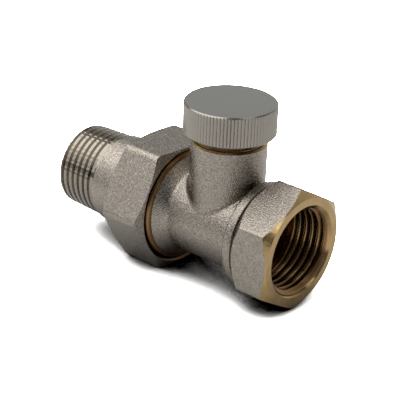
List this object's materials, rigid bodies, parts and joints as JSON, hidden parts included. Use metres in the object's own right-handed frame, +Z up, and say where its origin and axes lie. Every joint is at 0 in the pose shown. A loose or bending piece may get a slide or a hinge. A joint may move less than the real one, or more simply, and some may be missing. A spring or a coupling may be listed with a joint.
{
  "type": "lockshield radiator valve",
  "caption": "Straight lockshield radiator valve with a hexagon pipe socket, knurled cap over a key-operated spindle, and a union nut with a threaded tail.",
  "frame": {"origin": "centre of the pipe socket's mouth, on the run's axis", "axes": "+X out of the pipe socket along the run, +Z up along the spindle and cap"},
  "size_m": [0.0677, 0.033, 0.0441],
  "materials": {
    "plated_forging": "nickel plated over a sand-blasted forging, with bare turned edges",
    "plated_knurl": "nickel plated, turned and knurled",
    "plated_tail": "nickel plated, bright thread and sand-blasted shank",
    "turned_brass": "bare turned brass",
    "seal_rubber": "black seal rubber"
  },
  "bodies": {
    "valve": {"valve_body": "plated_forging"},
    "cap_slide": {"cap_seal": "seal_rubber"},
    "cap_turning": {"cap": "plated_knurl"},
    "spindle_slide": {"spindle_seal": "seal_rubber"},
    "spindle_turning": {"regulating_spindle": "turned_brass"},
    "tail": {"tail_piece": "plated_tail"},
    "nut": {"union_nut": "plated_forging"}
  },
  "joints": [
    {"name": "cap_lift", "type": "slide", "parent": "valve", "child": "cap_slide", "axis": [0, 0, 1], "range_m": [0, 0.004]},
    {"name": "cap_turn", "type": "hinge", "parent": "cap_slide", "child": "cap_turning", "pos_m": [-0.0224, 0, 0.0257], "axis": [0, 0, 1], "range_deg": [0, 1440]},
    {"name": "spindle_lift", "type": "slide", "parent": "valve", "child": "spindle_slide", "axis": [0, 0, 1], "range_m": [0, 0.0035]},
    {"name": "spindle_turn", "type": "hinge", "parent": "spindle_slide", "child": "spindle_turning", "pos_m": [-0.0224, 0, 0.012], "axis": [0, 0, 1], "range_deg": [0, 1260]},
    {"name": "union_draw", "type": "slide", "parent": "valve", "child": "tail", "axis": [-1, 0, 0], "range_m": [0, 0.00636]},
    {"name": "union_turn", "type": "hinge", "parent": "tail", "child": "nut", "pos_m": [-0.041, 0, 0], "axis": [-1, 0, 0], "range_deg": [0, 1260]}
  ],
  "couplings": [
    {"joint": "cap_lift", "follows": "cap_turn", "m_per_rad": 0.00015915},
    {"joint": "spindle_lift", "follows": "spindle_turn", "m_per_rad": 0.00015915},
    {"joint": "union_draw", "follows": "union_turn", "m_per_rad": 0.0002887}
  ]
}
